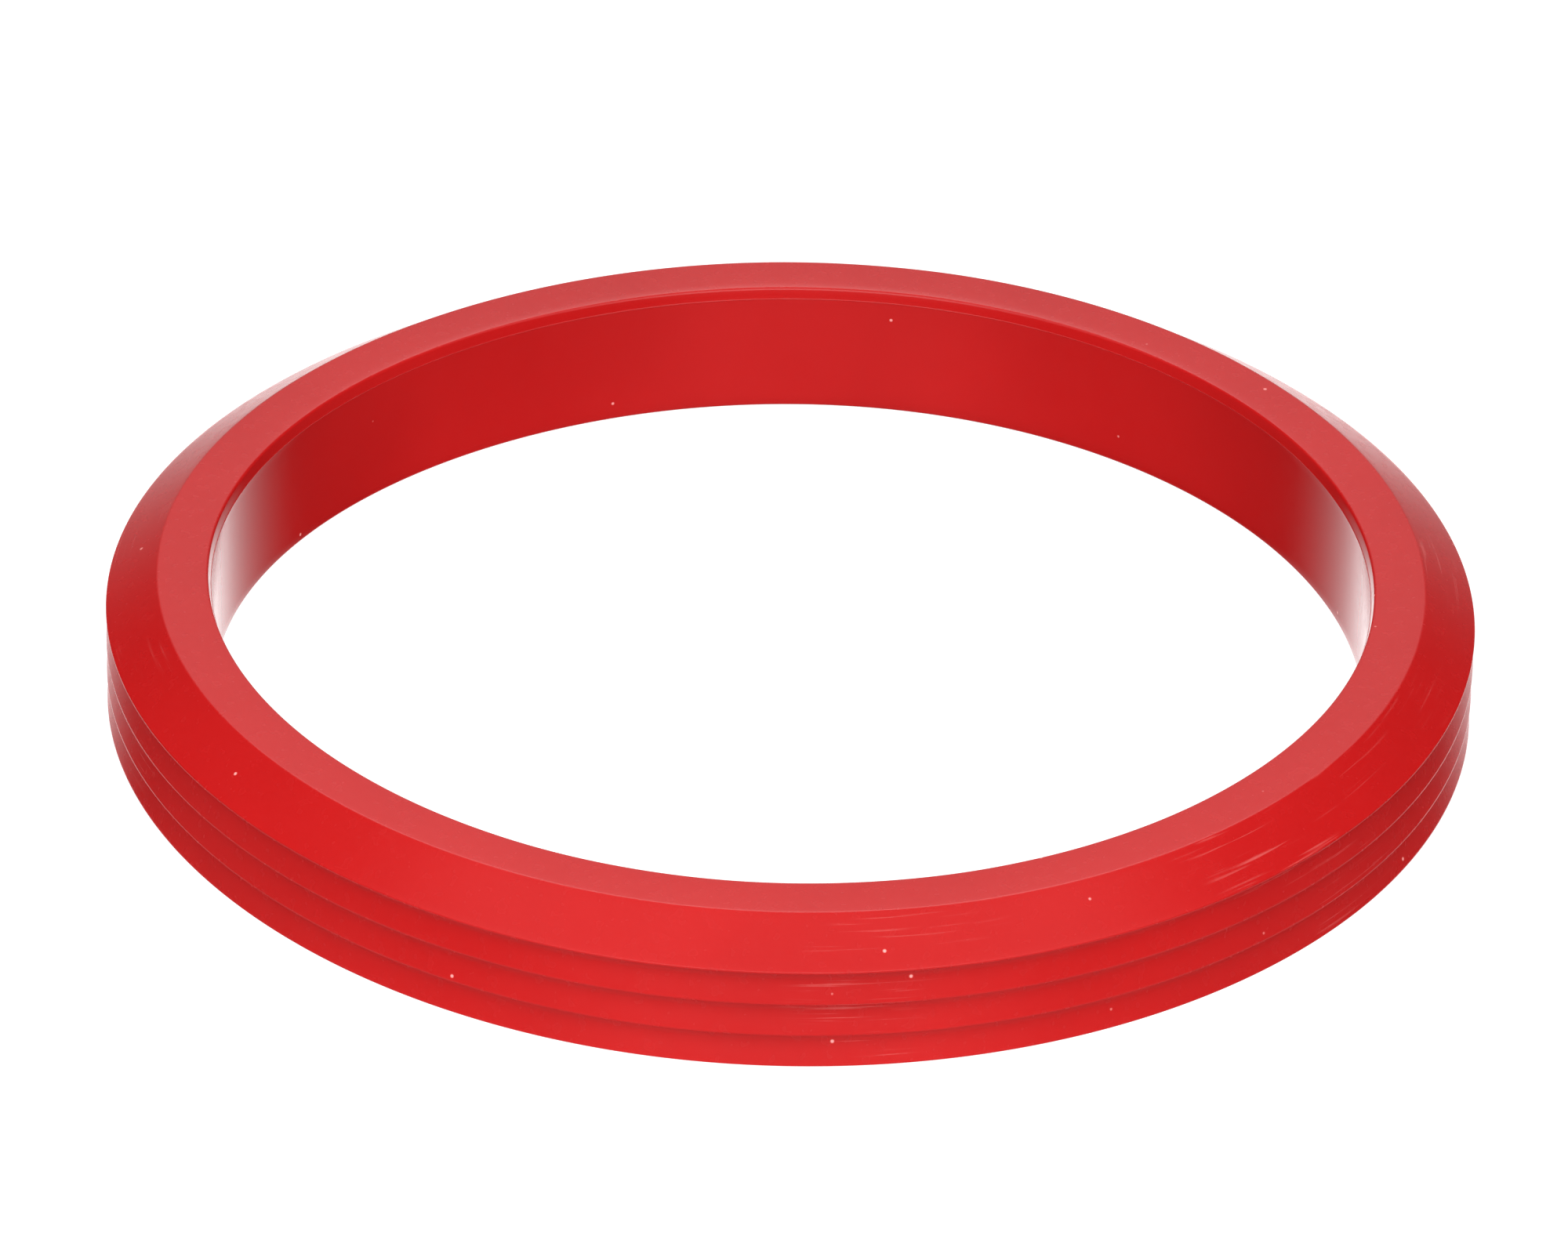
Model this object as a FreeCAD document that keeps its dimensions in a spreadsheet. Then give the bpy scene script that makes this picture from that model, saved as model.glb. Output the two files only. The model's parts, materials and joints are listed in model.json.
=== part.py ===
# Ribbed sealing ring: one moulded elastomer ring with a smooth bore, a flat front face,
# a cone that leads it into a round opening, and saw-tooth ribs that grip that opening.
# Units are millimetres. The base lies on Z = 0, and +Z is the ring's axis, towards the cone.
import FreeCAD, Part
import os
import Sketcher

# Driving dimensions: alias, value, meaning.
DIMENSIONS = [
    ("outer_radius", 75.0, "radius over the rib crests"),
    ("bore_radius", 63.3, "radius of the smooth bore"),
    ("rib_pitch", 3.75, "axial distance from one rib crest to the next"),
    ("rib_depth", 0.9, "how far each groove between two ribs is cut in"),
    ("crest_land", 0.25, "height of the cylindrical land on each rib crest"),
    ("groove_count", 3.0, "grooves, each one above a rib crest"),
    ("cone_rise", 3.8, "height of the lead-in cone"),
    ("cone_run", 5.6, "radial width of the lead-in cone"),
    ("mouth_width", 0.4, "radial width of the steep lead-in at the bore's upper edge"),
    ("mouth_depth", 1.3, "height of that lead-in"),
    ("foot_round", 0.3, "radius on the bore's lower edge"),
    ("root_round", 0.2, "radius in the root of each groove"),
]

# Dimensions that follow from the driving ones.
DERIVED = [
    ("top_crest_level", "groove_count * rib_pitch + crest_land", "height of the highest rib crest"),
    ("ring_height", "top_crest_level + cone_rise", "whole height of the ring"),
    ("face_radius", "outer_radius - cone_run", "outer radius of the flat front face"),
    ("root_radius", "outer_radius - rib_depth", "radius at the root of each groove"),
    ("groove_top", "top_crest_level - crest_land", "level of the underside of the highest rib"),
    ("groove_foot", "top_crest_level - rib_pitch", "level where the highest groove's flank ends"),
    ("pattern_span", "(groove_count - 1) * rib_pitch", "distance from the first groove to the last"),
]

ZERO_LENGTH = 1e-6
VOLUME_TOLERANCE = 0.01


def make_sheet(doc):
    """Put every dimension in a spreadsheet cell with an alias."""
    sheet = doc.addObject("Spreadsheet::Sheet", "Dimensions")
    row = 1
    for alias, value, meaning in DIMENSIONS:
        write_cell(sheet, row, alias, str(value), meaning)
        row += 1
    doc.recompute()
    for alias, formula, meaning in DERIVED:
        write_cell(sheet, row, alias, "=" + formula, meaning)
        row += 1
    doc.recompute()
    return sheet


def write_cell(sheet, row, alias, content, meaning):
    """Write one row: its meaning in column A, its value in column B, with an alias."""
    sheet.set("A%d" % row, meaning)
    sheet.set("B%d" % row, content)
    sheet.setAlias("B%d" % row, alias)


def origin_feature(body, role):
    """Return the body's own origin plane or axis with the given role."""
    for feature in body.Origin.OriginFeatures:
        if feature.Role == role:
            return feature
    raise RuntimeError("no origin feature " + role)


def new_sketch(body, name):
    """Add a sketch on the body's own upright XZ plane: across is +X, up is +Z."""
    sketch = body.newObject("Sketcher::SketchObject", name)
    sketch.AttachmentSupport = [(origin_feature(body, "XZ_Plane"), "")]
    sketch.MapMode = "FlatFace"
    return sketch


def closed_outline(sketch, corners):
    """Draw straight lines through the corners and back to the first, joined end to end."""
    count = len(corners)
    for index in range(count):
        start = FreeCAD.Vector(corners[index][0], corners[index][1], 0)
        end_corner = corners[(index + 1) % count]
        end = FreeCAD.Vector(end_corner[0], end_corner[1], 0)
        sketch.addGeometry(Part.LineSegment(start, end), False)
    for index in range(count):
        sketch.addConstraint(Sketcher.Constraint("Coincident", index, 2, (index + 1) % count, 1))


def level_or_upright(sketch, kinds):
    """Make each listed line horizontal or vertical."""
    for line, kind in kinds:
        sketch.addConstraint(Sketcher.Constraint(kind, line))


def bind_corner(sketch, line, across, up):
    """Tie the start of a line to two dimensions, measured from the sketch's origin."""
    for kind, alias in (("DistanceX", across), ("DistanceY", up)):
        if alias is None:
            continue
        start = sketch.Geometry[line].StartPoint
        size = start.x if kind == "DistanceX" else start.y
        number = sketch.addConstraint(Sketcher.Constraint(kind, -1, 1, line, 1, size))
        name = "%s_%s" % (alias, kind)
        sketch.renameConstraint(number, name)
        sketch.setExpression("Constraints." + name, "Dimensions." + alias)


def make_blank(body, sheet):
    """Turn the ring's plain section: bore, flat front face, cone, and a straight outside."""
    section = new_sketch(body, "ring_section")
    corners = [
        (sheet.bore_radius, 0.0),
        (sheet.outer_radius, 0.0),
        (sheet.outer_radius, sheet.top_crest_level),
        (sheet.face_radius, sheet.ring_height),
        (sheet.bore_radius, sheet.ring_height),
    ]
    closed_outline(section, corners)
    level_or_upright(section, [(0, "Horizontal"), (1, "Vertical"), (3, "Horizontal"), (4, "Vertical")])
    section.addConstraint(Sketcher.Constraint("PointOnObject", 0, 1, -1))
    bind_corner(section, 0, "bore_radius", None)
    bind_corner(section, 1, "outer_radius", None)
    bind_corner(section, 2, None, "top_crest_level")
    bind_corner(section, 3, "face_radius", "ring_height")

    blank = body.newObject("PartDesign::Revolution", "ring_blank")
    blank.Profile = section
    blank.ReferenceAxis = (section, ["V_Axis"])
    blank.Angle = 360.0
    return blank


def make_grooves(body, sheet):
    """Cut the saw-tooth groove under the highest rib, and repeat it down the outside.

    The underside of the rib is square to the axis, and the groove's flank leans outward
    from the root down to the next rib's crest.
    """
    section = new_sketch(body, "groove_section")
    corners = [
        (sheet.root_radius, sheet.groove_top),
        (sheet.outer_radius, sheet.groove_top),
        (sheet.outer_radius, sheet.groove_foot),
    ]
    closed_outline(section, corners)
    level_or_upright(section, [(0, "Horizontal"), (1, "Vertical")])
    bind_corner(section, 0, "root_radius", "groove_top")
    bind_corner(section, 1, "outer_radius", None)
    bind_corner(section, 2, None, "groove_foot")

    groove = body.newObject("PartDesign::Groove", "rib_groove")
    groove.Profile = section
    groove.ReferenceAxis = (section, ["V_Axis"])
    groove.Angle = 360.0

    pattern = body.newObject("PartDesign::LinearPattern", "rib_grooves")
    pattern.Originals = [groove]
    pattern.Direction = (origin_feature(body, "Z_Axis"), [""])
    pattern.Reversed = True
    pattern.setExpression("Length", "Dimensions.pattern_span")
    pattern.setExpression("Occurrences", "Dimensions.groove_count")
    body.Tip = pattern
    return groove, pattern


def round_edges(shape, radius, level=None):
    """Name the circular edges about the axis with this radius, at one level or at any."""
    names = []
    for index, edge in enumerate(shape.Edges):
        curve = edge.Curve
        if not isinstance(curve, Part.Circle):
            continue
        right_radius = abs(curve.Radius - radius) < ZERO_LENGTH
        right_level = level is None or abs(curve.Center.z - level) < ZERO_LENGTH
        if right_radius and right_level:
            names.append("Edge%d" % (index + 1))
    if not names:
        raise RuntimeError("no edge of radius %g" % radius)
    return names


def dress_edges(doc, body, sheet, base):
    """Round the groove roots, cut the lead-in at the bore's mouth and round its foot."""
    roots = body.newObject("PartDesign::Fillet", "root_rounds")
    roots.Base = (base, round_edges(base.Shape, sheet.root_radius))
    roots.setExpression("Radius", "Dimensions.root_round")
    doc.recompute()

    mouth = body.newObject("PartDesign::Chamfer", "bore_mouth")
    mouth.Base = (roots, round_edges(roots.Shape, sheet.bore_radius, sheet.ring_height))
    mouth.ChamferType = "Two distances"
    mouth.setExpression("Size", "Dimensions.mouth_depth")
    mouth.setExpression("Size2", "Dimensions.mouth_width")
    doc.recompute()
    check_mouth(mouth.Shape, sheet)

    foot = body.newObject("PartDesign::Fillet", "bore_foot")
    foot.Base = (mouth, round_edges(mouth.Shape, sheet.bore_radius, 0.0))
    foot.setExpression("Radius", "Dimensions.foot_round")
    body.Tip = foot
    doc.recompute()


def check_mouth(shape, sheet):
    """Make sure that the lead-in's long side runs down the bore, and not across the face."""
    face_edge = sheet.bore_radius + sheet.mouth_width
    wall_edge_level = sheet.ring_height - sheet.mouth_depth
    round_edges(shape, face_edge, sheet.ring_height)
    round_edges(shape, sheet.bore_radius, wall_edge_level)


def check_grooves(blank, groove, pattern, sheet):
    """Make sure that the grooves are cut, and that each one takes the same volume."""
    first_cut = blank.Shape.Volume - groove.Shape.Volume
    all_cuts = blank.Shape.Volume - pattern.Shape.Volume
    if first_cut <= 0.0:
        raise RuntimeError("the groove removes nothing")
    if abs(all_cuts - first_cut * sheet.groove_count) > VOLUME_TOLERANCE * first_cut:
        raise RuntimeError("the grooves do not all remove the same volume")


def make_seal_ring(doc, sheet):
    """Build the whole ring as one body, because it is moulded in one piece."""
    body = doc.addObject("PartDesign::Body", "seal_ring")
    body.Label = "seal_ring"
    body.Placement = FreeCAD.Placement(FreeCAD.Vector(0, 0, 0), FreeCAD.Rotation())
    blank = make_blank(body, sheet)
    doc.recompute()
    groove, pattern = make_grooves(body, sheet)
    doc.recompute()
    check_grooves(blank, groove, pattern, sheet)
    dress_edges(doc, body, sheet, pattern)
    return body


def check_document(doc):
    """Stop if any object of the document failed."""
    for item in doc.Objects:
        if "Invalid" in item.State or "Error" in item.State:
            raise RuntimeError("%s failed: %s" % (item.Name, item.State))


def export_body(body):
    """Check the sub-part's shape, and write it to its own file."""
    shape = body.Shape
    if shape.isNull() or not shape.isValid() or len(shape.Solids) != 1:
        raise RuntimeError(body.Label + " is not one valid solid")
    os.makedirs("parts", exist_ok=True)
    shape.exportStep("parts/%s.step" % body.Label)
    box = shape.optimalBoundingBox(True, False)
    print("%s: %.2f x %.2f x %.2f mm, volume %.1f mm3" %
          (body.Label, box.XLength, box.YLength, box.ZLength, shape.Volume))


def main():
    doc = FreeCAD.newDocument("RibbedSealingRing")
    sheet = make_sheet(doc)
    ring = make_seal_ring(doc, sheet)
    doc.recompute()
    check_document(doc)
    export_body(ring)


main()
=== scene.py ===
import json
import math

import bpy
from mathutils import Matrix, Vector, noise


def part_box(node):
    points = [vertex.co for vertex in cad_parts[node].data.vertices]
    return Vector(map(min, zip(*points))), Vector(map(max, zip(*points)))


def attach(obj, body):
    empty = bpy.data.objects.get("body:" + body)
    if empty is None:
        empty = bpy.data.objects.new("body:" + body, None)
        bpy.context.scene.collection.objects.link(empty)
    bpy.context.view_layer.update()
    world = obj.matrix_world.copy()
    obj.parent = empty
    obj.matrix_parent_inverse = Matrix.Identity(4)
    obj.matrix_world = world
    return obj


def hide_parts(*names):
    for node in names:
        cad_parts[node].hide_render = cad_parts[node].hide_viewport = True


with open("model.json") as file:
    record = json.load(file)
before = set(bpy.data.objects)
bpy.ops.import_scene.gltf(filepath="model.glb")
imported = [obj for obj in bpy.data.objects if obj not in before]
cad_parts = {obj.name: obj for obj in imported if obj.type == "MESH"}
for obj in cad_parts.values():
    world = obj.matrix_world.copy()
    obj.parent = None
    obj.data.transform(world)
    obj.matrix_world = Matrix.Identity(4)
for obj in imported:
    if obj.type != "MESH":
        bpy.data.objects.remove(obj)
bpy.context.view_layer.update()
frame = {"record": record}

MM = 0.001

# ---------------------------------------------------------------------------------------------
# The ring's sizes, in metres. The box and the mounts come from the frame, and the rest are the
# CAD model's own dimensions, which the frame doesn't name.
# ---------------------------------------------------------------------------------------------
RING_LOW, RING_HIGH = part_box("seal_ring")
OUTER_RADIUS = (RING_HIGH.x - RING_LOW.x) / 2
RING_HEIGHT = RING_HIGH.z - RING_LOW.z
MOUNTS = {mount["name"]: mount for mount in frame["record"]["mounts"]}
BORE_RADIUS = MOUNTS["bore"]["dims"]["r_mm"] * MM
TOP_CREST_LEVEL = MOUNTS["rib_crests"]["dims"]["length_mm"] * MM

GROOVES = 3
RIB_PITCH = 3.75 * MM
RIB_DEPTH = 0.9 * MM
CREST_LAND = 0.25 * MM
CONE_RUN = 5.6 * MM
MOUTH_WIDTH = 0.4 * MM
MOUTH_DEPTH = 1.3 * MM

# The groove is deepest a little below its underside, at this part of the rib's height. From there
# it comes out again, to this part of its depth.
DEEPEST_AT = 0.78
ROOT_SHARE = 0.65
HOLLOW_ROUND = 1.2 * MM

# The mould's parting leaves a fine raised line below the bore's mouth.
WITNESS_LINE = 0.07 * MM

# How far the bore's wall leans out from its foot to its mouth, to let the mould's core go.
BORE_DRAFT = 0.2 * MM

# The wall isn't quite even: the bore is this much wider across X, and narrower across Y.
BORE_OVAL = 0.22 * MM

# The face sinks a little towards the bore.
CROWN_WIDTH = 4.0 * MM
CROWN_DROP = 0.13 * MM

# Edge radii of the moulding.
CREST_ROUND = 0.13 * MM
ROOT_ROUND = 0.2 * MM
CONE_ROUND = 0.5 * MM
FACE_ROUND = 0.35 * MM
MOUTH_ROUND = 0.04 * MM
FOOT_ROUND = 0.3 * MM

# A soft ring never lies perfectly round: it has slight radial waves, given as the number of
# waves in a turn, their height and the angle of their first crest. It is drawn in by a little,
# so that the widest wave stays inside the CAD model's box.
WAVES = [
    (2, 0.348 * MM, 2.32),
    (3, 0.239 * MM, 2.91),
    (4, 0.226 * MM, -0.39),
]
DRAWN_IN = 0.51 * MM

# The ring isn't quite level either: it sinks in places by up to this much at its face. The scale
# is in patches per metre.
RIPPLE_DEPTH = 0.05 * MM
RIPPLE_SCALE = 55.0

# The mesh: its steps round the ring, the steps of each rounded edge, the longest stretch of the
# section without a point, and the part of each side that a rounded edge may take.
SEGMENTS = 500
ARC_STEPS = 6
LONGEST_STRETCH = 0.9 * MM
SIDE_SHARE = 0.49


# ---------------------------------------------------------------------------------------------
# The ring's section
# ---------------------------------------------------------------------------------------------
def section_corners():
    """The corners of the section, as (radius, height, edge radius), from the bore's foot outwards."""
    corners = [
        (BORE_RADIUS - BORE_DRAFT / 2, 0.0, FOOT_ROUND),
        (OUTER_RADIUS, 0.0, CREST_ROUND),
    ]
    for rib in range(GROOVES):
        crest = CREST_LAND + rib * RIB_PITCH
        underside = crest + RIB_PITCH - CREST_LAND
        corners.append((OUTER_RADIUS, crest, CREST_ROUND))
        deepest = crest + (underside - crest) * DEEPEST_AT
        corners.append((OUTER_RADIUS - RIB_DEPTH, deepest, HOLLOW_ROUND))
        corners.append((OUTER_RADIUS - RIB_DEPTH * ROOT_SHARE, underside, ROOT_ROUND))
        corners.append((OUTER_RADIUS, underside, CREST_ROUND))
    corners.append((OUTER_RADIUS, TOP_CREST_LEVEL, CREST_ROUND))
    corners.append((OUTER_RADIUS - CONE_RUN, RING_HEIGHT, CONE_ROUND))
    corners.append((BORE_RADIUS + MOUTH_WIDTH, RING_HEIGHT, FACE_ROUND))
    wall_top = BORE_RADIUS + BORE_DRAFT / 2
    witness = RING_HEIGHT - MOUTH_DEPTH
    corners.append((wall_top, witness + WITNESS_LINE, MOUTH_ROUND))
    corners.append((wall_top - WITNESS_LINE, witness, MOUTH_ROUND))
    corners.append((wall_top, witness - WITNESS_LINE, MOUTH_ROUND))
    return corners


def round_corner(before, corner, after, radius):
    """Points on the arc that rounds one corner, from the side before it to the side after it."""
    back = (before - corner).normalized()
    ahead = (after - corner).normalized()
    half_angle = back.angle(ahead) / 2
    room = SIDE_SHARE * min((before - corner).length, (after - corner).length)
    reach = min(radius / math.tan(half_angle), room)
    radius = reach * math.tan(half_angle)
    centre = corner + (back + ahead).normalized() * (radius / math.sin(half_angle))
    start = corner + back * reach - centre
    end = corner + ahead * reach - centre
    sweep = start.angle_signed(end)
    points = []
    for step in range(ARC_STEPS + 1):
        points.append(centre + Matrix.Rotation(-sweep * step / ARC_STEPS, 2) @ start)
    return points


def straight_fill(points):
    """Add points along the long straight stretches, so that the surface can bend a little there."""
    filled = []
    for index, point in enumerate(points):
        after = points[(index + 1) % len(points)]
        filled.append(point)
        parts = int((after - point).length / LONGEST_STRETCH)
        for part in range(1, parts + 1):
            filled.append(point.lerp(after, part / (parts + 1)))
    return filled


def ring_section():
    """The closed outline of the section, with every corner rounded."""
    corners = section_corners()
    flat = [Vector((radius, height)) for radius, height, _ in corners]
    outline = []
    for index, (_, _, edge_radius) in enumerate(corners):
        before = flat[index - 1]
        after = flat[(index + 1) % len(flat)]
        outline.extend(round_corner(before, flat[index], after, edge_radius))
    return straight_fill(outline)


# ---------------------------------------------------------------------------------------------
# The ring's mesh
# ---------------------------------------------------------------------------------------------
def crown(radius, height):
    """How far the face sinks at this radius, less and less down the wall of the bore."""
    inward = BORE_RADIUS + MOUTH_WIDTH + CROWN_WIDTH - radius
    part_way = min(max(inward / CROWN_WIDTH, 0.0), 1.0)
    return CROWN_DROP * part_way ** 2 * height / RING_HEIGHT


def oval(radius, angle):
    """How far the bore's oval moves a point: all of it at the bore, and none outside the face."""
    face_radius = OUTER_RADIUS - CONE_RUN
    share = min(max((face_radius - radius) / (face_radius - BORE_RADIUS), 0.0), 1.0)
    return BORE_OVAL * share * math.cos(2 * angle)


def relaxed_point(radius, height, angle):
    """Where a point of the section lies at this angle, with the slight waves of a soft ring."""
    height -= crown(radius, height)
    radius += oval(radius, angle) - DRAWN_IN
    for count, wave_height, crest in WAVES:
        radius += wave_height * math.cos(count * angle - crest)
    across = Vector((math.cos(angle), math.sin(angle), 0.0)) * radius
    ripple = noise.noise(Vector((across.x, across.y, height)) * RIPPLE_SCALE)
    lift = height / RING_HEIGHT * RIPPLE_DEPTH * ripple
    return Vector((across.x, across.y, height + min(lift, 0.0)))


def make_ring():
    """Carry the section round the axis into one closed mesh."""
    section = ring_section()
    count = len(section)
    vertices = []
    for segment in range(SEGMENTS):
        angle = 2 * math.pi * segment / SEGMENTS
        for point in section:
            vertices.append(relaxed_point(point.x, point.y, angle))
    faces = []
    for segment in range(SEGMENTS):
        near = segment * count
        far = (segment + 1) % SEGMENTS * count
        for index in range(count):
            after = (index + 1) % count
            faces.append((near + index, far + index, far + after, near + after))
    mesh = bpy.data.meshes.new("moulded_ring")
    mesh.from_pydata(vertices, [], faces)
    mesh.validate()
    mesh.shade_smooth()
    ring = bpy.data.objects.new("moulded_ring", mesh)
    bpy.context.scene.collection.objects.link(ring)
    return ring


# ---------------------------------------------------------------------------------------------
# Material
# ---------------------------------------------------------------------------------------------
class Nodes:
    """A short way to add nodes to one node tree and to join them."""

    def __init__(self, tree):
        self.tree = tree

    def add(self, kind, label="", **settings):
        node = self.tree.nodes.new(kind)
        node.label = label
        for name, value in settings.items():
            setattr(node, name, value)
        return node

    def put(self, value, socket):
        """Join another node's output to this input, or set the input to a plain value."""
        if isinstance(value, bpy.types.NodeSocket):
            self.tree.links.new(value, socket)
        else:
            socket.default_value = value

    def math(self, operation, first, second=0.0, third=0.0, clamp=False):
        node = self.add("ShaderNodeMath", operation=operation, use_clamp=clamp)
        self.put(first, node.inputs[0])
        self.put(second, node.inputs[1])
        self.put(third, node.inputs[2])
        return node.outputs[0]

    def span(self, value, low, high, out_low=0.0, out_high=1.0, smooth=False):
        """Map a value from one span to another, held at both ends."""
        node = self.add("ShaderNodeMapRange", clamp=True)
        node.interpolation_type = "SMOOTHSTEP" if smooth else "LINEAR"
        self.put(value, node.inputs["Value"])
        node.inputs["From Min"].default_value = low
        node.inputs["From Max"].default_value = high
        node.inputs["To Min"].default_value = out_low
        node.inputs["To Max"].default_value = out_high
        return node.outputs["Result"]

    def noise(self, vector, scale, detail=2.0, roughness=0.5):
        node = self.add("ShaderNodeTexNoise")
        self.put(vector, node.inputs["Vector"])
        node.inputs["Scale"].default_value = scale
        node.inputs["Detail"].default_value = detail
        node.inputs["Roughness"].default_value = roughness
        return node.outputs["Fac"]

    def blend(self, amount, first, second):
        """Mix two colours."""
        node = self.add("ShaderNodeMix", data_type="RGBA")
        self.put(amount, node.inputs[0])
        self.put(first, node.inputs[6])
        self.put(second, node.inputs[7])
        return node.outputs[2]


RED = (0.392, 0.0080, 0.0082, 1.0)
DEEP_RED = (0.365, 0.0068, 0.0070, 1.0)
LINT = (0.80, 0.30, 0.28, 1.0)

# The surface's patterns. Each scale is in features per metre.
CLOUD_SCALE = 45.0
LINT_SCALE = 380.0
LINT_SHARE = 0.13
LINT_CORE = 0.04
LINT_EDGE = 0.09
SCUFF_SCALE = (60.0, 60.0, 4200.0)
SCUFF_PATCH_SCALE = 28.0
SCUFF_SHARE = 0.28
GRAIN_SCALE = 800.0
GRAIN_DEPTH = 0.02 * MM
GRAIN_STRENGTH = 0.03

# The gloss, as roughness: the finest and coarsest satin, and how much the bore and the marks
# differ from it.
FINE_SATIN = 0.24
COARSE_SATIN = 0.28
BORE_CHANGE = -0.11
MARK_CHANGE = 0.2
RUBBER_IOR = 1.3

# How far light spreads under the surface, and how much of it does.
SOAK_SHARE = 0.12
SOAK_BY_COLOUR = (1.0, 0.12, 0.1)
SOAK_DEPTH = 1.5 * MM


def facing_outward(kit, where):
    """1 where the surface faces away from the ring's axis, -1 in the bore and 0 on a level face."""
    level = kit.add("ShaderNodeVectorMath", operation="MULTIPLY")
    kit.put(where.outputs["Object"], level.inputs[0])
    level.inputs[1].default_value = (1.0, 1.0, 0.0)
    outward = kit.add("ShaderNodeVectorMath", operation="NORMALIZE")
    kit.put(level.outputs[0], outward.inputs[0])
    facing = kit.add("ShaderNodeVectorMath", operation="DOT_PRODUCT")
    kit.put(outward.outputs[0], facing.inputs[0])
    kit.put(where.outputs["Normal"], facing.inputs[1])
    return facing.outputs["Value"]


def lint_marks(kit, place):
    """A few small pale specks held by the surface: a dot in the middle of some of the cells."""
    cells = kit.add("ShaderNodeTexVoronoi", feature="F1")
    kit.put(place, cells.inputs["Vector"])
    cells.inputs["Scale"].default_value = LINT_SCALE
    speck = kit.span(cells.outputs["Distance"], LINT_CORE, LINT_EDGE, 1.0, 0.0)
    pick = kit.add("ShaderNodeSeparateColor")
    kit.put(cells.outputs["Color"], pick.inputs[0])
    chosen = kit.math("GREATER_THAN", pick.outputs[0], 1.0 - LINT_SHARE)
    return kit.math("MULTIPLY", speck, chosen)


def scuff_marks(kit, place, facing):
    """Fine streaks that run round the outside of the ring, in patches."""
    streak_place = kit.add("ShaderNodeMapping")
    kit.put(place, streak_place.inputs["Vector"])
    streak_place.inputs["Scale"].default_value = SCUFF_SCALE
    streaks = kit.noise(streak_place.outputs["Vector"], 1.0, detail=2.0, roughness=0.7)
    patches = kit.span(kit.noise(place, SCUFF_PATCH_SCALE, detail=1.0), 0.56, 0.70)
    scuff = kit.math("MULTIPLY", kit.span(streaks, 0.60, 0.72), patches)
    return kit.math("MULTIPLY", scuff, kit.span(facing, 0.2, 0.4))


def elastomer_material():
    """Red moulded elastomer: satin outside, smoother in the bore, with lint and fine scuffs."""
    material = bpy.data.materials.new("red_elastomer")
    material.use_nodes = True
    shader = material.node_tree.nodes["Principled BSDF"]
    kit = Nodes(material.node_tree)
    where = kit.add("ShaderNodeTexCoord")
    place = where.outputs["Object"]
    facing = facing_outward(kit, where)

    # Pigment: broad, faint clouds, with the marks over them.
    clouds = kit.noise(place, CLOUD_SCALE, detail=3.0)
    body_colour = kit.blend(kit.span(clouds, 0.35, 0.7), RED, DEEP_RED)
    scuff = kit.math("MULTIPLY", scuff_marks(kit, place, facing), SCUFF_SHARE)
    marks = kit.math("MAXIMUM", lint_marks(kit, place), scuff)
    kit.put(kit.blend(marks, body_colour, LINT), shader.inputs["Base Color"])

    # Gloss: the bore is smoother than the outside, and the marks are rougher.
    grain = kit.noise(place, GRAIN_SCALE, detail=1.0)
    satin = kit.span(grain, 0.3, 0.7, FINE_SATIN, COARSE_SATIN)
    in_bore = kit.span(facing, -0.9, -0.6, 1.0, 0.0)
    rough = kit.math("ADD", satin, kit.math("MULTIPLY", in_bore, BORE_CHANGE))
    rough = kit.math("ADD", rough, kit.math("MULTIPLY", marks, MARK_CHANGE), clamp=True)
    kit.put(rough, shader.inputs["Roughness"])

    bump = kit.add("ShaderNodeBump")
    bump.inputs["Strength"].default_value = GRAIN_STRENGTH
    bump.inputs["Distance"].default_value = GRAIN_DEPTH
    kit.put(grain, bump.inputs["Height"])
    kit.put(bump.outputs["Normal"], shader.inputs["Normal"])

    shader.inputs["IOR"].default_value = RUBBER_IOR
    shader.inputs["Subsurface Weight"].default_value = SOAK_SHARE
    shader.inputs["Subsurface Radius"].default_value = SOAK_BY_COLOUR
    shader.inputs["Subsurface Scale"].default_value = SOAK_DEPTH
    return material


# ---------------------------------------------------------------------------------------------
# Floor, light and camera
# ---------------------------------------------------------------------------------------------
WHITE = (1.0, 1.0, 1.0, 1.0)
BLACK = (0.0, 0.0, 0.0, 1.0)
FLOOR_GREY = (0.30, 0.30, 0.30, 1.0)
FLOOR_SIZE = 120 * OUTER_RADIUS
FLOOR_GLOW = 0.85


def lit_material(name, colour, strength):
    """A material that glows white over its own colour."""
    material = bpy.data.materials.new(name)
    material.use_nodes = True
    shader = material.node_tree.nodes["Principled BSDF"]
    shader.inputs["Base Color"].default_value = colour
    shader.inputs["Emission Color"].default_value = WHITE
    shader.inputs["Emission Strength"].default_value = strength
    return material


def make_floor():
    """A plain white table that glows a little, as an underlit product table does."""
    reach = FLOOR_SIZE / 2
    corners = [(-reach, -reach, 0), (reach, -reach, 0), (reach, reach, 0), (-reach, reach, 0)]
    mesh = bpy.data.meshes.new("floor")
    mesh.from_pydata(corners, [], [(0, 1, 2, 3)])
    floor = bpy.data.objects.new("floor", mesh)
    bpy.context.scene.collection.objects.link(floor)
    material = lit_material("floor_white", FLOOR_GREY, FLOOR_GLOW)
    shader = material.node_tree.nodes["Principled BSDF"]
    shader.inputs["Roughness"].default_value = 0.9
    shader.inputs["Specular IOR Level"].default_value = 0.0

    # The light from under the table reaches the ring through it.
    kit = Nodes(material.node_tree)
    seen = kit.add("ShaderNodeLightPath").outputs["Is Camera Ray"]
    pane = kit.add("ShaderNodeMixShader")
    kit.put(seen, pane.inputs[0])
    kit.put(kit.add("ShaderNodeBsdfTransparent").outputs[0], pane.inputs[1])
    kit.put(shader.outputs[0], pane.inputs[2])
    kit.put(pane.outputs[0], material.node_tree.nodes["Material Output"].inputs["Surface"])
    mesh.materials.append(material)


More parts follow.
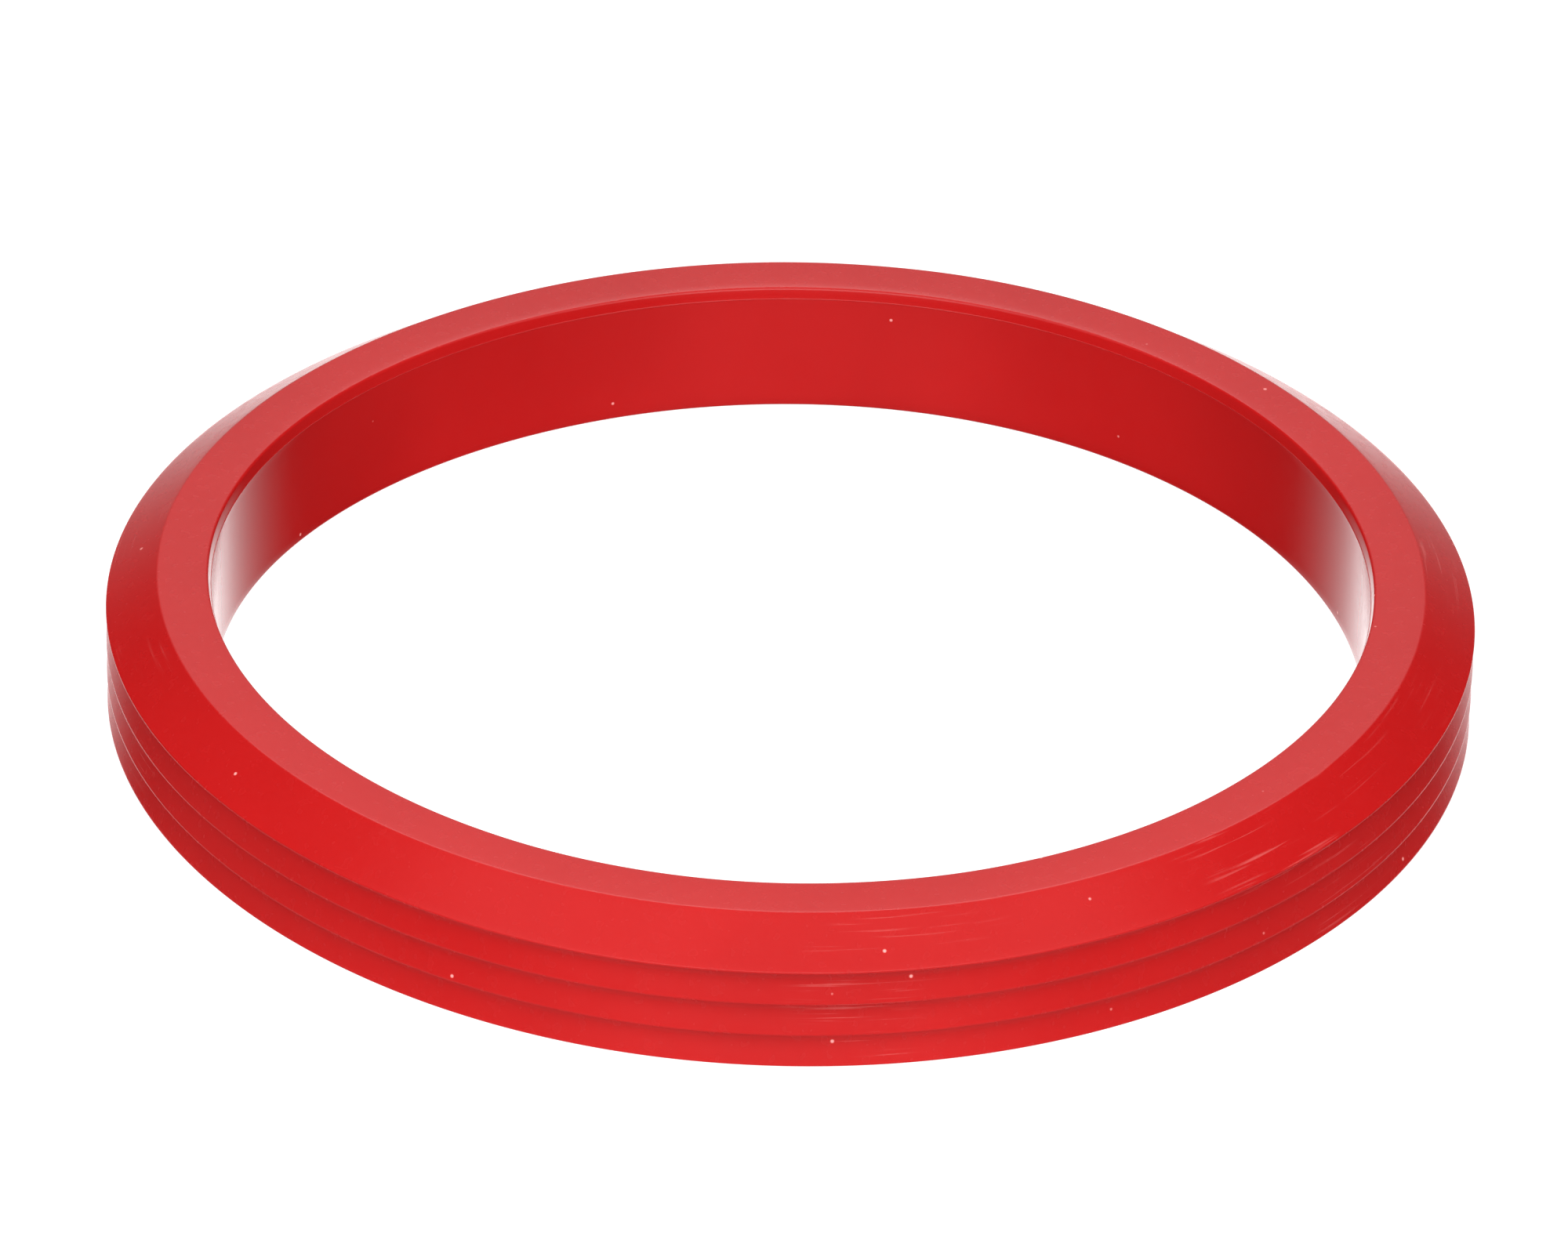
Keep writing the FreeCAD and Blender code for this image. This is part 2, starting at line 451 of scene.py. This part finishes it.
# The light from in front and from behind, as (height, light) steps. The height of a direction is
# -1 straight down and 1 straight up.
FRONT_LIGHT = [
    (-0.30, 0.35),
    (0.10, 0.35),
    (0.40, 4.4),
    (0.75, 4.4),
    (0.97, 0.6),
]
BACK_LIGHT = [
    (-0.32, 1.9),
    (-0.15, 0.7),
    (0.25, 0.7),
    (0.45, 0.85),
    (0.60, 0.85),
    (0.70, 5.0),
    (0.90, 5.0),
    (0.98, 0.6),
]

# Each light fades out between these two distances to the side. The back light is narrower the
# higher it is, by BACK_TAPER.
FRONT_FADE = (0.35, 0.80)
BACK_FADE = (0.25, 0.66)
BACK_TAPER = 0.20

# Where one light passes into the other, as a distance to the front and to the back.
PASSING = 0.15


def light_ladder(kit, height, steps):
    """The light at a height, smooth between one step and the next."""
    total = steps[0][1]
    for (low, light), (high, next_light) in zip(steps, steps[1:]):
        change = kit.span(height, low, high, 0.0, next_light - light, smooth=True)
        total = kit.math("ADD", total, change)
    return total


def make_world():
    """A studio with dark sides: lit in front, and with a white strip under the ring and behind it."""
    world = bpy.data.worlds.new("studio")
    bpy.context.scene.world = world
    world.use_nodes = True
    kit = Nodes(world.node_tree)
    background = world.node_tree.nodes["Background"]
    way = kit.add("ShaderNodeSeparateXYZ")
    kit.put(kit.add("ShaderNodeTexCoord").outputs["Generated"], way.inputs[0])
    height = way.outputs["Z"]
    sideways = kit.math("ABSOLUTE", way.outputs["X"])
    front_share = kit.span(sideways, *FRONT_FADE, 1.0, 0.0)
    front = kit.math("MULTIPLY", light_ladder(kit, height, FRONT_LIGHT), front_share)
    tapered = kit.math("MULTIPLY_ADD", height, BACK_TAPER, sideways)
    back_share = kit.span(tapered, *BACK_FADE, 1.0, 0.0)
    back = kit.math("MULTIPLY", light_ladder(kit, height, BACK_LIGHT), back_share)
    behind = kit.span(way.outputs["Y"], -PASSING, PASSING, smooth=True)
    strength = kit.add("ShaderNodeMix", data_type="FLOAT")
    kit.put(behind, strength.inputs[0])
    kit.put(front, strength.inputs[2])
    kit.put(back, strength.inputs[3])
    background.inputs["Color"].default_value = WHITE
    kit.put(strength.outputs[0], background.inputs["Strength"])


def aim(thing, place, target, roll=0.0):
    """Put a light or camera at a place, looking at a target, rolled about its own axis."""
    look = (place - target).to_track_quat("Z", "Y").to_matrix().to_4x4()
    thing.matrix_world = Matrix.Translation(place) @ look @ Matrix.Rotation(roll, 4, "Z")


# The softbox, in metres and watts.
SOFTBOX_PLACE = Vector((0.0, -0.10, 0.12))
SOFTBOX_WIDTH = 0.10
SOFTBOX_LENGTH = 0.06
SOFTBOX_POWER = 0.060


def make_softbox():
    """A small white softbox over the front of the ring, which lights it and isn't seen itself."""
    light = bpy.data.lights.new("top_softbox", "AREA")
    light.shape = "RECTANGLE"
    light.size = SOFTBOX_WIDTH
    light.size_y = SOFTBOX_LENGTH
    light.energy = SOFTBOX_POWER
    softbox = bpy.data.objects.new("top_softbox", light)
    softbox.visible_camera = False
    softbox.visible_glossy = False
    bpy.context.scene.collection.objects.link(softbox)
    aim(softbox, SOFTBOX_PLACE, Vector((0, 0, 0)))


# The bands of the lit table: name, inner radius, outer radius and strength.
TABLE_GLOWS = [
    ("outer_glow", OUTER_RADIUS, 2.4 * OUTER_RADIUS, 1.6),
    ("inner_glow", 0.05 * BORE_RADIUS, 0.97 * BORE_RADIUS, 0.9),
]
GLOW_STEPS = 96
GLOW_LEVEL = -1.0 * MM


def make_table_glow(name, inner, outer, strength):
    """A flat band of the lit table, which lights the ring and isn't seen itself."""
    vertices = []
    for reach in (inner, outer):
        for step in range(GLOW_STEPS):
            angle = 2 * math.pi * step / GLOW_STEPS
            vertices.append((reach * math.cos(angle), reach * math.sin(angle), GLOW_LEVEL))
    faces = []
    for step in range(GLOW_STEPS):
        after = (step + 1) % GLOW_STEPS
        faces.append((step, GLOW_STEPS + step, GLOW_STEPS + after, after))
    mesh = bpy.data.meshes.new(name)
    mesh.from_pydata(vertices, [], faces)
    mesh.materials.append(lit_material(name, BLACK, strength))
    glow = bpy.data.objects.new(name, mesh)
    bpy.context.scene.collection.objects.link(glow)
    glow.visible_camera = False
    glow.visible_glossy = False


CAMERA_DISTANCE = 13.92 * OUTER_RADIUS
CAMERA_ELEVATION = math.radians(31.26)
CAMERA_ROLL = math.radians(1.335)
CAMERA_LENS_MM = 218.8
CAMERA_TARGET = Vector((-0.91, 0.0, 7.8)) * MM
FAR_CLIP = 100.0


def make_camera():
    """A long lens at the front, looking down at the middle of the ring."""
    data = bpy.data.cameras.new("camera")
    data.sensor_width = 36.0
    data.lens = CAMERA_LENS_MM
    data.clip_end = FAR_CLIP
    camera = bpy.data.objects.new("camera", data)
    bpy.context.scene.collection.objects.link(camera)
    towards_camera = Vector((0.0, -math.cos(CAMERA_ELEVATION), math.sin(CAMERA_ELEVATION)))
    aim(camera, towards_camera * CAMERA_DISTANCE, CAMERA_TARGET, CAMERA_ROLL)
    bpy.context.scene.camera = camera


# ---------------------------------------------------------------------------------------------
# Build
# ---------------------------------------------------------------------------------------------
ring = make_ring()
ring.data.materials.append(elastomer_material())
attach(ring, "root")
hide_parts("seal_ring")

make_floor()
make_world()
make_softbox()
for band in TABLE_GLOWS:
    make_table_glow(*band)
make_camera()
bpy.context.scene.view_settings.view_transform = "Standard"
